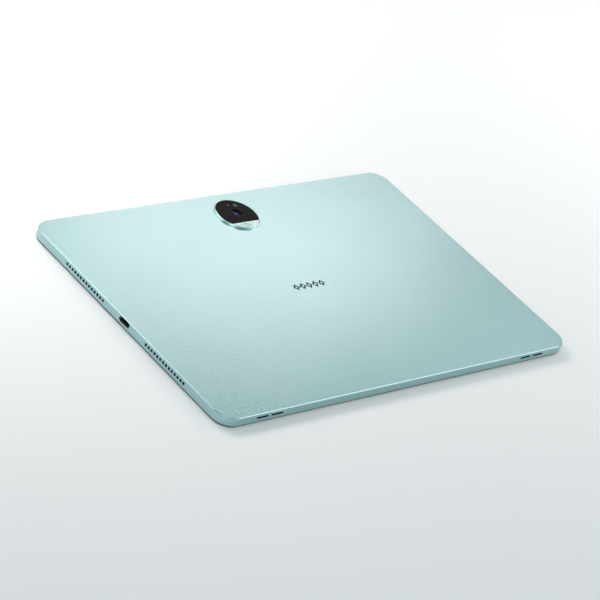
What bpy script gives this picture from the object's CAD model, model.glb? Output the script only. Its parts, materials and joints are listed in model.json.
"""Looks, light and camera for the tablet computer. Lengths are in metres, in the CAD frame."""

import json
import math

import bmesh
import bpy
from mathutils import Matrix, Vector


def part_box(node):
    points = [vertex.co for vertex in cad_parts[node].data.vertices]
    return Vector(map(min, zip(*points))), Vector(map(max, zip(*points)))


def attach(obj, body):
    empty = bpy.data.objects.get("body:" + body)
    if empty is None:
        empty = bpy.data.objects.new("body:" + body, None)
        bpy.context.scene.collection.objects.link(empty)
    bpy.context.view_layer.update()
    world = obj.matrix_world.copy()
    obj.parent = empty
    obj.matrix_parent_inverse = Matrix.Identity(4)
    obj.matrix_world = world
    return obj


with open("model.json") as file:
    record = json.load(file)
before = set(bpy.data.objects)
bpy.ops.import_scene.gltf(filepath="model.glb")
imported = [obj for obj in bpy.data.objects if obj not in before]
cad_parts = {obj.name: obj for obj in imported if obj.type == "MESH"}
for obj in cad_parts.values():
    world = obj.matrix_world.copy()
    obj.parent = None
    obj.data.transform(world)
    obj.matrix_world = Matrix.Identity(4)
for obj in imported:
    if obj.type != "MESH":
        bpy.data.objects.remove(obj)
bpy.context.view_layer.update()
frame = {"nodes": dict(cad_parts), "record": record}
NODES = frame["nodes"]
MM = 0.001


def middle(low, top):
    """The centre of a box."""
    return [(a + b) / 2 for a, b in zip(low, top)]


HOUSING_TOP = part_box("rear_housing")[1]
BACK_Z = HOUSING_TOP.z
ISLAND = middle(*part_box("camera_trim_ring"))
LENS = middle(*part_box("lens_window"))
FLASH = middle(*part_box("flash_lens"))
FRONT_CAMERA = middle(*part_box("front_camera_lens"))
PANEL_LOW, PANEL_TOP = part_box("lcd_panel")

# Camera, as angles about the tablet and a distance
VIEW_AZIMUTH = math.radians(-52.934)
VIEW_ELEVATION = math.radians(30.395)
VIEW_ROLL = math.radians(23.112)
VIEW_DISTANCE = 1.5657
VIEW_OFFSET = (-3.07 * MM, -3.60 * MM)
VIEW_LENS_MM = 164.0
SENSOR_MM = 36.0
VIEW_CLIP = (0.05, 50.0)

# The key and the fill are softboxes that the back mirrors to the camera. GLOW is where on the back their
# image lies, REACH how many times as far off as the camera they stand, TURN the angle of their long side
SOFTBOX_TINT = (1.0, 0.80, 0.77)
KEY_POWER = 1.24
KEY_SIZE = (0.54, 0.17)
KEY_TURN = -0.516
KEY_GLOW = (-0.035, 0.051)
KEY_REACH = 1.5
FILL_POWER = 0.042
FILL_SIZE = (0.155, 0.165)
FILL_TURN = -0.39
FILL_GLOW = (0.106, -0.045)
FILL_REACH = 0.353

# The even surround, and a large soft light above and a little in front
SURROUND = 0.41
SURROUND_TINT = (0.74, 0.97, 1.0, 1.0)
OVERHEAD_SPOT = (-0.2, -0.3, 2.0)
OVERHEAD_SIZE = (2.0, 2.0)
OVERHEAD_POWER = 3.0

# Large panels round the tablet, on the sides that the camera doesn't look towards. TURNS are in degrees
# from the far side, and SPOT is their distance and height
PANEL_TURNS = (90.0, 180.0, 270.0)
PANEL_SIZE = (3.0, 1.4)
PANEL_SPOT = (2.5, 1.2)
PANEL_POWER = 6.0

# The square lights: name, place, aim, side and power. The washes brighten the floor round the tablet, the
# rim lights are what the polished edge of the back mirrors, and the front light reaches the side walls
SIDE_LIGHTS = (
    ("wash_left", (-0.20, 0.30, 0.30), (-0.20, 0.30, 0.0), 0.25, 0.8),
    ("wash_far", (0.02, 0.62, 0.50), (0.02, 0.62, 0.0), 0.40, 2.0),
    ("wash_right", (0.66, -0.02, 0.45), (0.66, -0.02, 0.0), 0.40, 1.6),
    ("rim_left", (-0.88, 0.94, 1.20), (-0.138, 0.0, 0.006), 0.50, 0.5),
    ("rim_near", (1.60, -1.15, 1.20), (0.0, -0.09, 0.006), 0.70, 0.7),
    ("front", (-1.55, -1.17, 1.15), (0.0, 0.069, 0.006), 0.80, 4.0),
)

# Half the side of the square floor
FLOOR_HALF = 6.0

# Where the housing's finish changes. The polished edge starts and is full this far under the back, and the
# bores run this far in from a side wall, between two heights and clear of the rounded corners
EDGE_START = 0.42 * MM
EDGE_FULL = 0.36 * MM
EDGE_SHINE = 0.08
EDGE_GRAIN = 0.1
BORE_DEPTH = 2.2 * MM
BORE_LOW = 1.6 * MM
BORE_HIGH = 5.3 * MM
BORE_FADE = 0.1 * MM
BORE_ROUGHNESS = 0.6
CORNER_CLEAR = 12.0 * MM
CORNER_FADE = 0.5 * MM

# Printed and coated areas of the glasses, the soft edges between them, and the pitches of fine patterns
INK_BORDER_R = 13.0 * MM
INK_FADE = 0.15 * MM
LENS_TINT_R = 3.6 * MM
PICTURE_MARGIN = 1.2 * MM
PICTURE_FADE = 0.08 * MM
CELL_PITCH = 0.09 * MM
CELL_GAP = 0.008 * MM
CAMERA_HOLE_R = 1.0 * MM
CAMERA_HOLE_FADE = 0.06 * MM
CAMERA_RING_R = 1.25 * MM
CAMERA_RING_FADE = 0.05 * MM
GROOVE_PITCH = 0.12 * MM
FRESNEL_PITCH = 0.36 * MM
TRACK_PITCH = 0.5 * MM
WEAVE_PITCH = 0.16 * MM

# Detail pieces made here
RING_STEPS = 96
WELD = 0.001 * MM
GAP = 0.02 * MM
SHARP_ANGLE = math.radians(35.0)
FUNNEL_R = 3.05 * MM
FUNNEL_STEPS = 5
FUNNEL_FLOOR = 0.05 * MM
RISER_SHARE = 0.9
RISER_SLANT = 0.06 * MM
PUPIL_R = 1.15 * MM
PUPIL_RIM = 0.08 * MM
PUPIL_DOME = 0.16 * MM
PUPIL_STEPS = 8
EMITTER = 0.7 * MM
EMITTER_H = 0.2 * MM
EMITTER_ROUNDING = 0.05 * MM
EMITTER_PITCH = 0.85 * MM


class Shade:
    """One node material. Each method adds nodes and returns the socket that they make."""

    def __init__(self, name, **settings):
        self.material = bpy.data.materials.new(name)
        self.material.use_nodes = True
        self.tree = self.material.node_tree
        self.bsdf = self.tree.nodes["Principled BSDF"]
        self._place = None
        for key, value in settings.items():
            self.give(key.replace("_", " "), value)

    def feed(self, socket, value):
        """Links value to the socket if value is a socket itself, and otherwise sets it."""
        if isinstance(value, bpy.types.NodeSocket):
            self.tree.links.new(value, socket)
        else:
            socket.default_value = value

    def give(self, name, value):
        """Sets or links one of the shader's inputs."""
        self.feed(self.bsdf.inputs[name], value)

    def node(self, kind, inputs=None, **props):
        """Adds one node with the given properties and inputs, and returns it."""
        made = self.tree.nodes.new(kind)
        for key, value in props.items():
            setattr(made, key, value)
        for key, value in (inputs or {}).items():
            self.feed(made.inputs[key], value)
        return made

    @property
    def place(self):
        """Coordinates on the object, in metres."""
        if self._place is None:
            self._place = self.node("ShaderNodeTexCoord").outputs["Object"]
        return self._place

    def axis(self, letter):
        return self.node("ShaderNodeSeparateXYZ", {0: self.place}).outputs[letter]

    def moved(self, scale, turn=(0, 0, 0)):
        """Coordinates on the object, scaled and turned."""
        inputs = {"Vector": self.place, "Rotation": turn, "Scale": scale}
        return self.node("ShaderNodeMapping", inputs).outputs[0]

    def noise(self, size, detail=3.0, rough=0.5, warp=0.0, at=None):
        """Noise whose features are about size across."""
        inputs = {
            "Vector": at or self.place,
            "Scale": 1 / size,
            "Detail": detail,
            "Roughness": rough,
            "Distortion": warp,
        }
        return self.node("ShaderNodeTexNoise", inputs).outputs["Fac"]

    def cells(self, size, feature="F1"):
        """Distances in a pattern of cells about size across."""
        inputs = {"Vector": self.place, "Scale": 1 / size}
        return self.node("ShaderNodeTexVoronoi", inputs, feature=feature).outputs["Distance"]

    def maths(self, operation, a, b=0.0, c=0.0):
        return self.node("ShaderNodeMath", {0: a, 1: b, 2: c}, operation=operation).outputs[0]

    def product(self, first, *others):
        for value in others:
            first = self.maths("MULTIPLY", first, value)
        return first

    def span(self, value, low, high, to_low=0.0, to_high=1.0):
        """Maps value from low..high to to_low..to_high and holds it there."""
        inputs = {0: value, 1: low, 2: high, 3: to_low, 4: to_high}
        return self.node("ShaderNodeMapRange", inputs, clamp=True).outputs[0]

    def spread(self, noise, low=0.0, high=1.0):
        """Maps the range that most of a noise lies in, 0.3 to 0.7, to low..high."""
        return self.span(noise, 0.3, 0.7, low, high)

    def between(self, value, low, high, soft):
        """1 where value lies between low and high, and 0 elsewhere. Each change runs over soft."""
        rising = self.span(value, low, low + soft)
        falling = self.span(value, high, high + soft, 1.0, 0.0)
        return self.product(rising, falling)

    def wave(self, value, pitch):
        """A sine that repeats at every pitch."""
        return self.maths("SINE", self.maths("MULTIPLY", value, 2 * math.pi / pitch))

    def mix(self, share, first, second):
        """Mixes two colours by share. The node's sockets are numbered here, because their names repeat."""
        return self.node("ShaderNodeMix", {0: share, 6: first, 7: second}, data_type="RGBA").outputs[2]

    def ramp(self, value, stops):
        """Colours along a ramp: stops are (place, colour)."""
        made = self.node("ShaderNodeValToRGB", {0: value})
        elements = made.color_ramp.elements
        while len(elements) < len(stops):
            elements.new(0.5)
        for element, (where, tint) in zip(elements, stops):
            element.position = where
            element.color = tint
        return made.outputs[0]

    def bump(self, height, depth):
        """Raises the surface by height, where a height of 1 stands for depth."""
        inputs = {"Distance": depth, "Height": height}
        self.give("Normal", self.node("ShaderNodeBump", inputs).outputs[0])

    def radius(self, centre):
        """Distance from an upright axis through centre."""
        dx = self.maths("SUBTRACT", self.axis("X"), centre[0])
        dy = self.maths("SUBTRACT", self.axis("Y"), centre[1])
        return self.maths("SQRT", self.maths("ADD", self.product(dx, dx), self.product(dy, dy)))

    def inside(self, low, high, soft):
        """1 inside an upright rectangle and 0 outside it, over a soft edge."""
        shares = []
        for letter, a, b in (("X", low[0], high[0]), ("Y", low[1], high[1])):
            off = self.maths("ABSOLUTE", self.maths("SUBTRACT", self.axis(letter), (a + b) / 2))
            half = (b - a) / 2
            shares.append(self.span(off, half - soft, half + soft, 1.0, 0.0))
        return self.product(*shares)


def rgb(r, g, b):
    return (r, g, b, 1.0)


MINT_DEEP = rgb(0.384, 0.588, 0.598)
MINT = rgb(0.400, 0.605, 0.615)
MINT_BRIGHT = rgb(0.60, 0.77, 0.78)
BORE_DARK = rgb(0.012, 0.020, 0.021)


def anodised_mint(name="mint_aluminium", with_bores=True):
    """Bead-blasted, anodised aluminium: a polished edge round the back, and bores that are dark inside."""
    s = Shade(name, Metallic=1.0)
    grain = s.noise(0.55 * MM, detail=4.0, rough=0.6)
    cloud = s.noise(38 * MM, detail=2.0)
    share = s.maths("MULTIPLY_ADD", grain, 0.6, s.span(cloud, 0.35, 0.65, -0.1, 0.5))
    tint = s.mix(share, MINT_DEEP, MINT)
    facing = s.node("ShaderNodeNewGeometry").outputs["Normal"]
    normal = s.node("ShaderNodeSeparateXYZ", {0: facing}).outputs
    # The edge is the only stretch near the top that is neither upright nor level
    near_top = s.span(s.axis("Z"), BACK_Z - EDGE_START, BACK_Z - EDGE_FULL)
    not_upright = s.span(normal["Z"], 0.30, 0.45)
    not_level = s.span(normal["Z"], 0.90, 0.97, 1.0, 0.0)
    polished = s.product(near_top, not_upright, not_level)
    bored = 0.0
    if with_bores:
        bored = s.maths("MAXIMUM", bores(s, "X", "Y", normal), bores(s, "Y", "X", normal))
    s.give("Base Color", s.mix(bored, s.mix(polished, tint, MINT_BRIGHT), BORE_DARK))
    outside = s.maths("MULTIPLY_ADD", polished, -EDGE_SHINE, s.spread(grain, 0.234, 0.243))
    s.give("Roughness", s.maths("MAXIMUM", outside, s.maths("MULTIPLY", bored, BORE_ROUGHNESS)))
    s.bump(s.product(grain, s.span(polished, 0.0, 1.0, 1.0, EDGE_GRAIN)), 0.3e-6)
    return s.material


def bores(s, through, along, normal):
    """1 on the walls of holes cut through the side walls that face along one axis, and 0 elsewhere."""
    reach = {"X": HOUSING_TOP.x, "Y": HOUSING_TOP.y}
    runs_through = s.span(s.maths("ABSOLUTE", normal[through]), 0.55, 0.75, 1.0, 0.0)
    depth = reach[through] - BORE_DEPTH
    in_wall = s.span(s.maths("ABSOLUTE", s.axis(through)), depth, depth + BORE_FADE)
    end = reach[along] - CORNER_CLEAR
    clear_of_corner = s.span(s.maths("ABSOLUTE", s.axis(along)), end, end + CORNER_FADE, 1.0, 0.0)
    in_height = s.between(s.axis("Z"), BORE_LOW, BORE_HIGH, BORE_FADE)
    return s.product(runs_through, in_wall, clear_of_corner, in_height)


def polished_mint():
    """Turned and polished aluminium, with fine circular tool marks."""
    s = Shade("mint_polished", Metallic=1.0)
    turned = s.node("ShaderNodeCombineXYZ", {"X": s.radius(ISLAND), "Z": s.axis("Z")}).outputs[0]
    rings = s.noise(0.05 * MM, detail=1.0, at=turned)
    s.give("Base Color", s.mix(rings, rgb(0.78, 0.90, 0.89), rgb(0.88, 0.95, 0.94)))
    s.give("Roughness", s.spread(rings, 0.20, 0.28))
    s.bump(rings, 0.6e-6)
    return s.material


def emblem_grey():
    """Dark printed ink with a fine grain."""
    s = Shade("emblem_grey", Specular_IOR_Level=0.05)
    grain = s.noise(0.30 * MM)
    s.give("Base Color", s.mix(grain, rgb(0.005, 0.014, 0.015), rgb(0.016, 0.030, 0.032)))
    s.give("Roughness", s.spread(grain, 0.42, 0.56))
    s.bump(grain, 1e-6)
    return s.material


def island_glass():
    """Black-backed glass with fine specks in the ink under it, and a deeper black border."""
    s = Shade("island_glass", Specular_IOR_Level=0.005)
    drift = s.noise(9 * MM, detail=2.0)
    speck = s.cells(0.35 * MM)
    base = s.mix(s.spread(drift), rgb(0.0065, 0.0070, 0.0085), rgb(0.010, 0.0105, 0.012))
    specked = s.mix(s.span(speck, 0.0, 0.12, 0.35, 0.0), base, rgb(0.03, 0.032, 0.036))
    border = s.span(s.radius(ISLAND), INK_BORDER_R, INK_BORDER_R + INK_FADE)
    s.give("Base Color", s.mix(border, specked, rgb(0.001, 0.001, 0.0015)))
    s.give("Roughness", s.spread(drift, 0.02, 0.045))
    s.bump(s.noise(2.5 * MM, detail=1.0), 1.5e-6)
    return s.material


def accent_pearl():
    """Pale green pearl with flowing marbled veins."""
    s = Shade("accent_pearl", Specular_IOR_Level=0.3, Coat_Weight=0.15, Coat_Roughness=0.12)
    flow = s.moved(scale=(1.0, 2.6, 1.0), turn=(0, 0, 0.35))
    veins = s.noise(6.0 * MM, detail=4.0, rough=0.60, warp=1.6, at=flow)
    fine = s.noise(1.6 * MM, rough=0.6, warp=0.8, at=flow)
    palest = rgb(0.68, 0.85, 0.77)
    stops = (
        (0.36, rgb(0.12, 0.21, 0.18)),
        (0.46, rgb(0.33, 0.48, 0.42)),
        (0.56, rgb(0.54, 0.72, 0.64)),
        (0.68, palest),
    )
    s.give("Base Color", s.mix(s.span(fine, 0.45, 0.75, 0.0, 0.35), s.ramp(veins, stops), palest))
    s.give("Roughness", s.spread(veins, 0.28, 0.16))
    s.bump(veins, 12e-6)
    return s.material


def lens_metal():
    """Black-coated turned metal with fine grooves."""
    s = Shade("lens_metal", Specular_IOR_Level=0.04)
    groove = s.wave(s.radius(LENS), GROOVE_PITCH)
    crest = s.span(groove, -1.0, 1.0)
    s.give("Base Color", s.mix(crest, rgb(0.004, 0.004, 0.005), rgb(0.012, 0.012, 0.014)))
    s.give("Roughness", s.spread(s.noise(0.3 * MM, detail=2.0), 0.22, 0.32))
    s.bump(groove, 1.5e-6)
    return s.material


def lens_coating():
    """The front element as it shows from outside: a navy pupil inside a paler violet ring."""
    s = Shade("lens_coating", Specular_IOR_Level=0.25)
    haze = s.noise(0.5 * MM)
    stops = (
        (0.0, rgb(0.004, 0.005, 0.040)),
        (0.48, rgb(0.008, 0.010, 0.085)),
        (0.66, rgb(0.13, 0.12, 0.30)),
        (0.80, rgb(0.20, 0.18, 0.32)),
        (0.95, rgb(0.004, 0.004, 0.006)),
    )
    ring = s.maths("MULTIPLY_ADD", haze, 0.08, s.span(s.radius(LENS), 0.0, PUPIL_R, 0.0, 0.94))
    s.give("Base Color", s.ramp(ring, stops))
    s.give("Roughness", s.spread(haze, 0.03, 0.07))
    return s.material


def lens_glass():
    """Clear glass with a violet, anti-reflective coat, which its low index stands for."""
    s = Shade("lens_glass", Transmission_Weight=1.0, IOR=1.04, Specular_IOR_Level=0.02)
    stops = (
        (0.0, rgb(0.62, 0.66, 0.90)),
        (0.35, rgb(0.56, 0.60, 0.88)),
        (0.65, rgb(0.60, 0.58, 0.84)),
        (1.0, rgb(0.66, 0.68, 0.80)),
    )
    coat = s.ramp(s.span(s.radius(LENS), 0.0, LENS_TINT_R), stops)
    s.give("Base Color", s.mix(s.maths("MULTIPLY", s.noise(1.5 * MM), 0.4), coat, rgb(0.50, 0.54, 0.76)))
    s.give("Roughness", s.spread(s.noise(0.8 * MM), 0.005, 0.02))
    return s.material


def diffuser(name="diffuser", dark=0.025, light=0.09, specular=0.4):
    """Smoked, frosted polycarbonate with fresnel rings about the flash."""
    s = Shade(name, Transmission_Weight=0.35, IOR=1.55, Specular_IOR_Level=specular)
    ring = s.wave(s.radius(FLASH), FRESNEL_PITCH)
    s.give("Base Color", s.mix(s.noise(0.4 * MM), rgb(dark, dark, dark), rgb(light, light, light)))
    s.give("Roughness", s.span(ring, -1.0, 1.0, 0.18, 0.34))
    s.bump(ring, 10e-6)
    return s.material


def display_glass():
    """Cover glass: a deep black border, a slightly lifted picture area and a small camera window."""
    s = Shade("display_glass", Specular_IOR_Level=0.5, Coat_Weight=0.5, Coat_Roughness=0.02)
    margin = Vector((PICTURE_MARGIN, PICTURE_MARGIN, 0))
    picture = s.inside(PANEL_LOW + margin, PANEL_TOP - margin, PICTURE_FADE)
    grid = {
        "Vector": s.place,
        "Color1": rgb(0.012, 0.012, 0.016),
        "Color2": rgb(0.009, 0.010, 0.014),
        "Mortar": rgb(0.004, 0.004, 0.005),
        "Scale": 1.0,
        "Mortar Size": CELL_GAP,
        "Brick Width": CELL_PITCH,
        "Row Height": CELL_PITCH,
    }
    cell = s.node("ShaderNodeTexBrick", grid, offset=0.0).outputs["Color"]
    border = s.mix(s.noise(20 * MM), rgb(0.0030, 0.0030, 0.0034), rgb(0.0042, 0.0042, 0.0048))
    off = s.radius(FRONT_CAMERA)
    hole = s.span(off, CAMERA_HOLE_R, CAMERA_HOLE_R + CAMERA_HOLE_FADE, 1.0, 0.0)
    with_hole = s.mix(hole, s.mix(picture, border, cell), rgb(0.006, 0.010, 0.022))
    ring = s.between(off, CAMERA_HOLE_R, CAMERA_RING_R, CAMERA_RING_FADE)
    s.give("Base Color", s.mix(ring, with_hole, rgb(0.022, 0.022, 0.024)))
    s.give("Roughness", s.spread(s.noise(14 * MM, detail=4.0), 0.035, 0.07))
    return s.material


def moulded(name, dark, light, grain=0.25 * MM, rough=(0.45, 0.60), depth=4e-6, **settings):
    """Moulded or cast plastic, or rubber, with a fine spark-eroded grain."""
    s = Shade(name, **settings)
    fine = s.noise(grain)
    broad = s.noise(14 * MM, detail=2.0)
    s.give("Base Color", s.mix(s.product(fine, s.spread(broad, 0.6, 1.0)), rgb(*dark), rgb(*light)))
    s.give("Roughness", s.spread(fine, *rough))
    s.bump(fine, depth)
    return s.material


def phosphor():
    """The pale yellow silicone over a light-emitting chip."""
    return moulded("phosphor", (0.62, 0.46, 0.06), (0.86, 0.70, 0.14), 0.12 * MM, (0.4, 0.6), 2e-6)


def rolled_metal(name, dark, light, squeeze=(1.0, 14.0, 14.0), rough=(0.24, 0.40), metallic=1.0):
    """Rolled sheet. Its streaks run along the axis on which they are squeezed least."""
    s = Shade(name, Metallic=metallic)
    streak = s.noise(1.6 * MM, detail=4.0, rough=0.65, at=s.moved(scale=squeeze))
    stain = s.noise(7 * MM, detail=2.0)
    s.give("Base Color", s.mix(s.product(streak, s.spread(stain, 0.7, 1.0)), rgb(*dark), rgb(*light)))
    s.give("Roughness", s.spread(streak, *rough))
    s.bump(streak, 1.5e-6)
    return s.material


def board_laminate():
    """Green solder mask over a maze of copper tracks and gilt holes."""
    s = Shade("board_laminate", Coat_Weight=0.3, Coat_Roughness=0.25)
    maze = s.cells(1.1 * MM, "DISTANCE_TO_EDGE")
    track = s.span(maze, 0.10, 0.16, 1.0, 0.0)
    via = s.span(s.cells(1.7 * MM), 0.12, 0.16, 1.0, 0.0)
    mask = s.mix(s.noise(5 * MM), rgb(0.006, 0.032, 0.022), rgb(0.010, 0.046, 0.032))
    traced = s.mix(s.maths("MULTIPLY", track, 0.45), mask, rgb(0.035, 0.13, 0.08))
    s.give("Base Color", s.mix(via, traced, rgb(0.60, 0.46, 0.20)))
    s.give("Roughness", s.span(maze, 0.0, 0.4, 0.32, 0.48))
    s.bump(track, 8e-6)
    return s.material


def ribbon_flex():
    """Amber film with copper lines seen through it."""
    s = Shade("flex_amber", Coat_Weight=0.4, Coat_Roughness=0.2)
    line = s.span(s.wave(s.maths("ADD", s.axis("X"), s.axis("Y")), TRACK_PITCH), 0.2, 0.5)
    s.give("Base Color", s.mix(line, rgb(0.28, 0.12, 0.025), rgb(0.50, 0.26, 0.07)))
    s.give("Roughness", s.spread(s.noise(1.5 * MM), 0.28, 0.42))
    s.bump(line, 6e-6)
    return s.material


def pouch_foil():
    """Black laminated foil with shallow creases."""
    s = Shade("pouch_foil", Metallic=0.45)
    crease = s.noise(9 * MM, detail=5.0, rough=0.6, warp=0.6)
    s.give("Base Color", s.mix(crease, rgb(0.020, 0.020, 0.022), rgb(0.065, 0.066, 0.070)))
    s.give("Roughness", s.spread(crease, 0.30, 0.46))
    s.bump(crease, 40e-6)
    return s.material


def woven_mesh():
    """Fine black woven wire in front of the speakers."""
    s = Shade("mesh_fabric")
    across = s.wave(s.maths("ADD", s.axis("X"), s.axis("Y")), WEAVE_PITCH)
    upright = s.wave(s.axis("Z"), WEAVE_PITCH)
    weave = s.product(across, upright)
    crest = s.span(weave, -0.6, 0.6)
    s.give("Base Color", s.mix(crest, rgb(0.003, 0.003, 0.003), rgb(0.022, 0.023, 0.024)))
    s.give("Roughness", s.span(weave, -1.0, 1.0, 0.5, 0.75))
    s.bump(weave, 20e-6)
    return s.material


def light_guide():
    """Clear acrylic with white printed dots."""
    s = Shade("light_guide", Transmission_Weight=0.6, IOR=1.49)
    dots = s.span(s.cells(1.0 * MM), 0.22, 0.28, 1.0, 0.0)
    s.give("Base Color", s.mix(dots, rgb(0.72, 0.80, 0.82), rgb(0.92, 0.93, 0.93)))
    s.give("Roughness", s.span(dots, 0.0, 1.0, 0.06, 0.5))
    return s.material


def plain_plastics():
    """Plastics, rubbers, glues and films that differ only in tint, grain and gloss."""
    return {
        "black_plastic": moulded(
            "black_plastic", (0.004, 0.004, 0.005), (0.012, 0.012, 0.013), Specular_IOR_Level=0.2
        ),
        "adhesive": moulded(
            "adhesive", (0.010, 0.010, 0.010), (0.030, 0.030, 0.030), 0.6 * MM, (0.6, 0.8)
        ),
        "clear_adhesive": moulded(
            "clear_adhesive", (0.60, 0.60, 0.58), (0.72, 0.72, 0.70), 2 * MM, (0.1, 0.2),
            Transmission_Weight=0.7
        ),
        "lcd_glass": moulded(
            "lcd_glass", (0.010, 0.012, 0.018), (0.022, 0.026, 0.036), CELL_PITCH, (0.08, 0.14), 0.5e-6
        ),
        "white_film": moulded(
            "white_film", (0.62, 0.63, 0.63), (0.74, 0.75, 0.75), 1.2 * MM, (0.3, 0.45), 2e-6
        ),
        "chip_epoxy": moulded(
            "chip_epoxy", (0.012, 0.012, 0.013), (0.030, 0.030, 0.032), 0.15 * MM, (0.4, 0.6)
        ),
        "thermal_grey": moulded(
            "thermal_grey", (0.16, 0.17, 0.19), (0.24, 0.25, 0.27), 0.5 * MM, (0.6, 0.8), 12e-6
        ),
        "cable_black": moulded(
            "cable_black", (0.010, 0.010, 0.010), (0.026, 0.026, 0.027), 0.4 * MM, (0.4, 0.6)
        ),
    }


def plain_metals():
    """Sheet, plating and foil that differ only in tint, streaks and gloss."""
    return {
        "steel": rolled_metal("steel", (0.36, 0.36, 0.35), (0.58, 0.58, 0.57)),
        "gold_contact": rolled_metal(
            "gold_contact", (0.62, 0.42, 0.14), (0.84, 0.62, 0.26), (1.0, 8.0, 8.0), (0.16, 0.28)
        ),
        "magnet_nickel": rolled_metal(
            "magnet_nickel", (0.42, 0.42, 0.40), (0.60, 0.60, 0.58), (1.0, 2.0, 2.0), (0.18, 0.32)
        ),
        "graphite": rolled_metal(
            "graphite", (0.030, 0.030, 0.032), (0.085, 0.085, 0.090), (2.0, 2.0, 2.0), (0.35, 0.6), 0.5
        ),
    }


def all_finishes():
    """One material for each of the record's slots."""
    return {
        "mint_aluminium": anodised_mint(),
        "mint_polished": polished_mint(),
        "emblem_grey": emblem_grey(),
        "island_glass": island_glass(),
        "accent_pearl": accent_pearl(),
        "lens_metal": lens_metal(),
        "lens_glass": lens_glass(),
        "diffuser": diffuser(),
        "display_glass": display_glass(),
        "light_guide": light_guide(),
        "flex_amber": ribbon_flex(),
        "board_laminate": board_laminate(),
        "pouch_foil": pouch_foil(),
        "mesh_fabric": woven_mesh(),
        **plain_plastics(),
        **plain_metals(),
    }


def paint_nodes(finishes):
    """Gives each CAD node its slot's finish. The keys have no bores, and the sensor window is darker."""
    for row in frame["record"]["subparts"]:
        NODES[row["node"]].material_slots[0].material = finishes[row["material_slot"]]
    key_finish = anodised_mint("mint_key", with_bores=False)
    for key in ("power_button", "volume_rocker"):
        NODES[key].material_slots[0].material = key_finish
    sensor_finish = diffuser("sensor_tint", dark=0.020, light=0.045, specular=0.15)
    NODES["sensor_window"].material_slots[0].material = sensor_finish


def solid_of_rings(name, outline, centre, material):
    """A solid of revolution about an upright axis. Its outline runs round the section: (radius, height)."""
    build = bmesh.new()
    angles = [2 * math.pi * step / RING_STEPS for step in range(RING_STEPS)]
    rings = []
    for radius, height in outline:
        ring = []
        for angle in angles:
            x = centre[0] + radius * math.cos(angle)
            y = centre[1] + radius * math.sin(angle)
            ring.append(build.verts.new((x, y, height)))
        rings.append(ring)
    for ring, following in zip(rings, rings[1:] + rings[:1]):
        for step in range(RING_STEPS):
            after = (step + 1) % RING_STEPS
            build.faces.new((ring[step], ring[after], following[after], following[step]))
    bmesh.ops.remove_doubles(build, verts=build.verts, dist=WELD)
    bmesh.ops.dissolve_degenerate(build, dist=WELD, edges=build.edges)
    add_piece(name, build, material)


def rounded_block(name, low, top, rounding, material):
    """A box with bevelled edges."""
    build = bmesh.new()
    bmesh.ops.create_cube(build, size=1.0)
    centre = (Vector(low) + Vector(top)) / 2
    size = Vector(top) - Vector(low)
    for corner in build.verts:
        corner.co = centre + size * corner.co
    bmesh.ops.bevel(build, geom=build.edges[:], offset=rounding, segments=3, profile=0.5, affect="EDGES")
    add_piece(name, build, material)


def add_piece(name, build, material):
    """Turns mesh code into a piece that moves with the tablet."""
    bmesh.ops.recalc_face_normals(build, faces=build.faces)
    for face in build.faces:
        face.smooth = True
    mesh = bpy.data.meshes.new(name)
    build.to_mesh(mesh)
    build.free()
    mesh.set_sharp_from_angle(angle=SHARP_ANGLE)
    mesh.materials.append(material)
    piece = bpy.data.objects.new(name, mesh)
    bpy.context.scene.collection.objects.link(piece)
    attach(piece, "tablet")


def add_lens_funnel(finish):
    """Black stepped funnel under the lens window that narrows to the front element."""
    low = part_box("rear_camera_body")[1].z + GAP
    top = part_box("lens_window")[0].z - GAP
    drop = (top - low - FUNNEL_FLOOR) / FUNNEL_STEPS
    tread = (FUNNEL_R - PUPIL_R) / (FUNNEL_STEPS + 0.5)
    outline = [(FUNNEL_R, low), (FUNNEL_R, top)]
    for step in range(FUNNEL_STEPS):
        edge = FUNNEL_R - tread * (step + 0.5)
        foot = top - drop * (step + RISER_SHARE)
        outline.append((edge, top - drop * step))
        outline.append((edge - RISER_SLANT, foot))
    outline.append((PUPIL_R, foot))
    outline.append((PUPIL_R, low))
    solid_of_rings("lens_funnel", outline, LENS, finish)


def add_lens_pupil():
    """The small domed element that the funnel frames."""
    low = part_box("rear_camera_body")[1].z + GAP
    rim = low + PUPIL_RIM
    edge = PUPIL_R - GAP
    outline = [(0.0, low), (edge, low), (edge, rim)]
    for step in range(1, PUPIL_STEPS):
        lean = math.pi / 2 * step / PUPIL_STEPS
        outline.append((edge * math.cos(lean), rim + PUPIL_DOME * math.sin(lean)))
    outline.append((0.0, rim + PUPIL_DOME))
    solid_of_rings("lens_pupil", outline, LENS, lens_coating())


def add_flash_emitters():
    """Two small emitters on the flash board, under the diffuser."""
    board_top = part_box("flash_board")[1].z
    half = EMITTER / 2
    finish = phosphor()
    for number, side in enumerate((-1, 1), 1):
        x = FLASH[0] + side * EMITTER_PITCH / 2
        low = (x - half, FLASH[1] - half, board_top)
        top = (x + half, FLASH[1] + half, board_top + EMITTER_H)
        rounded_block(f"flash_emitter_{number}", low, top, EMITTER_ROUNDING, finish)


def camera_axes():
    """The camera's right, up and backward directions."""
    a, e = VIEW_AZIMUTH, VIEW_ELEVATION
    back = Vector((math.sin(a) * math.cos(e), -math.cos(a) * math.cos(e), math.sin(e)))
    right = (-back).cross(Vector((0, 0, 1))).normalized()
    up = right.cross(-back)
    c, s = math.cos(VIEW_ROLL), math.sin(VIEW_ROLL)
    return right * c + up * s, up * c - right * s, back


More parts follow.
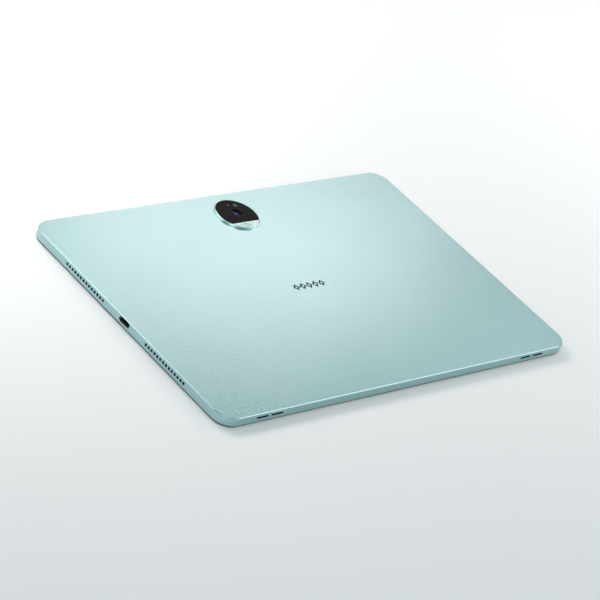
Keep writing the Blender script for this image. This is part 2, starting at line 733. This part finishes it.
def add_camera():
    """Adds the camera and returns where it stands."""
    right, up, back = camera_axes()
    data = bpy.data.cameras.new("camera")
    data.lens = VIEW_LENS_MM
    data.sensor_width = SENSOR_MM
    data.clip_start, data.clip_end = VIEW_CLIP
    camera = bpy.data.objects.new("camera", data)
    turn = Matrix((right, up, back)).transposed()
    spot = right * VIEW_OFFSET[0] + up * VIEW_OFFSET[1] + back * VIEW_DISTANCE
    camera.matrix_world = Matrix.Translation(spot) @ turn.to_4x4()
    bpy.context.scene.collection.objects.link(camera)
    bpy.context.scene.camera = camera
    return spot


def add_softbox(name, spot, aim, size, power, tint=(1.0, 1.0, 1.0), along=(1, 0, 0)):
    """A rectangular light at spot that faces aim. Its long side lies along the given direction."""
    data = bpy.data.lights.new(name, "AREA")
    data.shape = "RECTANGLE"
    data.size, data.size_y = size
    data.energy = power
    data.color = tint
    light = bpy.data.objects.new(name, data)
    away = (Vector(spot) - Vector(aim)).normalized()
    long_side = Vector(along)
    long_side = (long_side - away * long_side.dot(away)).normalized()
    turn = Matrix((long_side, away.cross(long_side), away)).transposed()
    light.matrix_world = Matrix.Translation(spot) @ turn.to_4x4()
    bpy.context.scene.collection.objects.link(light)


def add_mirrored(name, camera_spot, glow_xy, reach, turn, size, power):
    """A softbox that the back mirrors to the camera at glow_xy, reach times as far off as the camera is."""
    glow = Vector((*glow_xy, BACK_Z))
    run = (glow - camera_spot) * reach
    spot = glow + Vector((run.x, run.y, -run.z))
    add_softbox(name, spot, glow, size, power, SOFTBOX_TINT, (math.cos(turn), math.sin(turn), 0))


def add_panels():
    """Large panels that lean in over the tablet and light the views from the other sides."""
    reach, height = PANEL_SPOT
    for number, turn in enumerate(PANEL_TURNS, 1):
        angle = VIEW_AZIMUTH + math.pi / 2 + math.radians(turn)
        x, y = reach * math.cos(angle), reach * math.sin(angle)
        add_softbox(f"panel_{number}", (x, y, height), (0, 0, 0), PANEL_SIZE, PANEL_POWER, along=(-y, x, 0))


def add_floor():
    """Plain pale paper under the tablet."""
    corners = [(x * FLOOR_HALF, y * FLOOR_HALF, 0) for x, y in ((-1, -1), (1, -1), (1, 1), (-1, 1))]
    mesh = bpy.data.meshes.new("floor")
    mesh.from_pydata(corners, [], [(0, 1, 2, 3)])
    floor = bpy.data.objects.new("floor", mesh)
    s = Shade("floor_paper", Roughness=0.9)
    s.give("Base Color", s.mix(s.noise(0.4), rgb(0.965, 0.905, 0.90), rgb(0.975, 0.915, 0.91)))
    mesh.materials.append(s.material)
    bpy.context.scene.collection.objects.link(floor)


def add_lights(camera_spot):
    """The surround and every light of the studio."""
    world = bpy.data.worlds.new("studio")
    world.use_nodes = True
    background = world.node_tree.nodes["Background"].inputs
    background["Color"].default_value = SURROUND_TINT
    background["Strength"].default_value = SURROUND
    bpy.context.scene.world = world
    add_mirrored("key", camera_spot, KEY_GLOW, KEY_REACH, KEY_TURN, KEY_SIZE, KEY_POWER)
    add_mirrored("fill", camera_spot, FILL_GLOW, FILL_REACH, FILL_TURN, FILL_SIZE, FILL_POWER)
    add_softbox("overhead", OVERHEAD_SPOT, (0, 0, 0), OVERHEAD_SIZE, OVERHEAD_POWER)
    add_panels()
    for name, place, aim, side, power in SIDE_LIGHTS:
        add_softbox(name, place, aim, (side, side), power)


spot = add_camera()
finishes = all_finishes()
paint_nodes(finishes)
add_lens_funnel(finishes["lens_metal"])
add_lens_pupil()
add_flash_emitters()
add_floor()
add_lights(spot)
bpy.context.scene.view_settings.view_transform = "Standard"
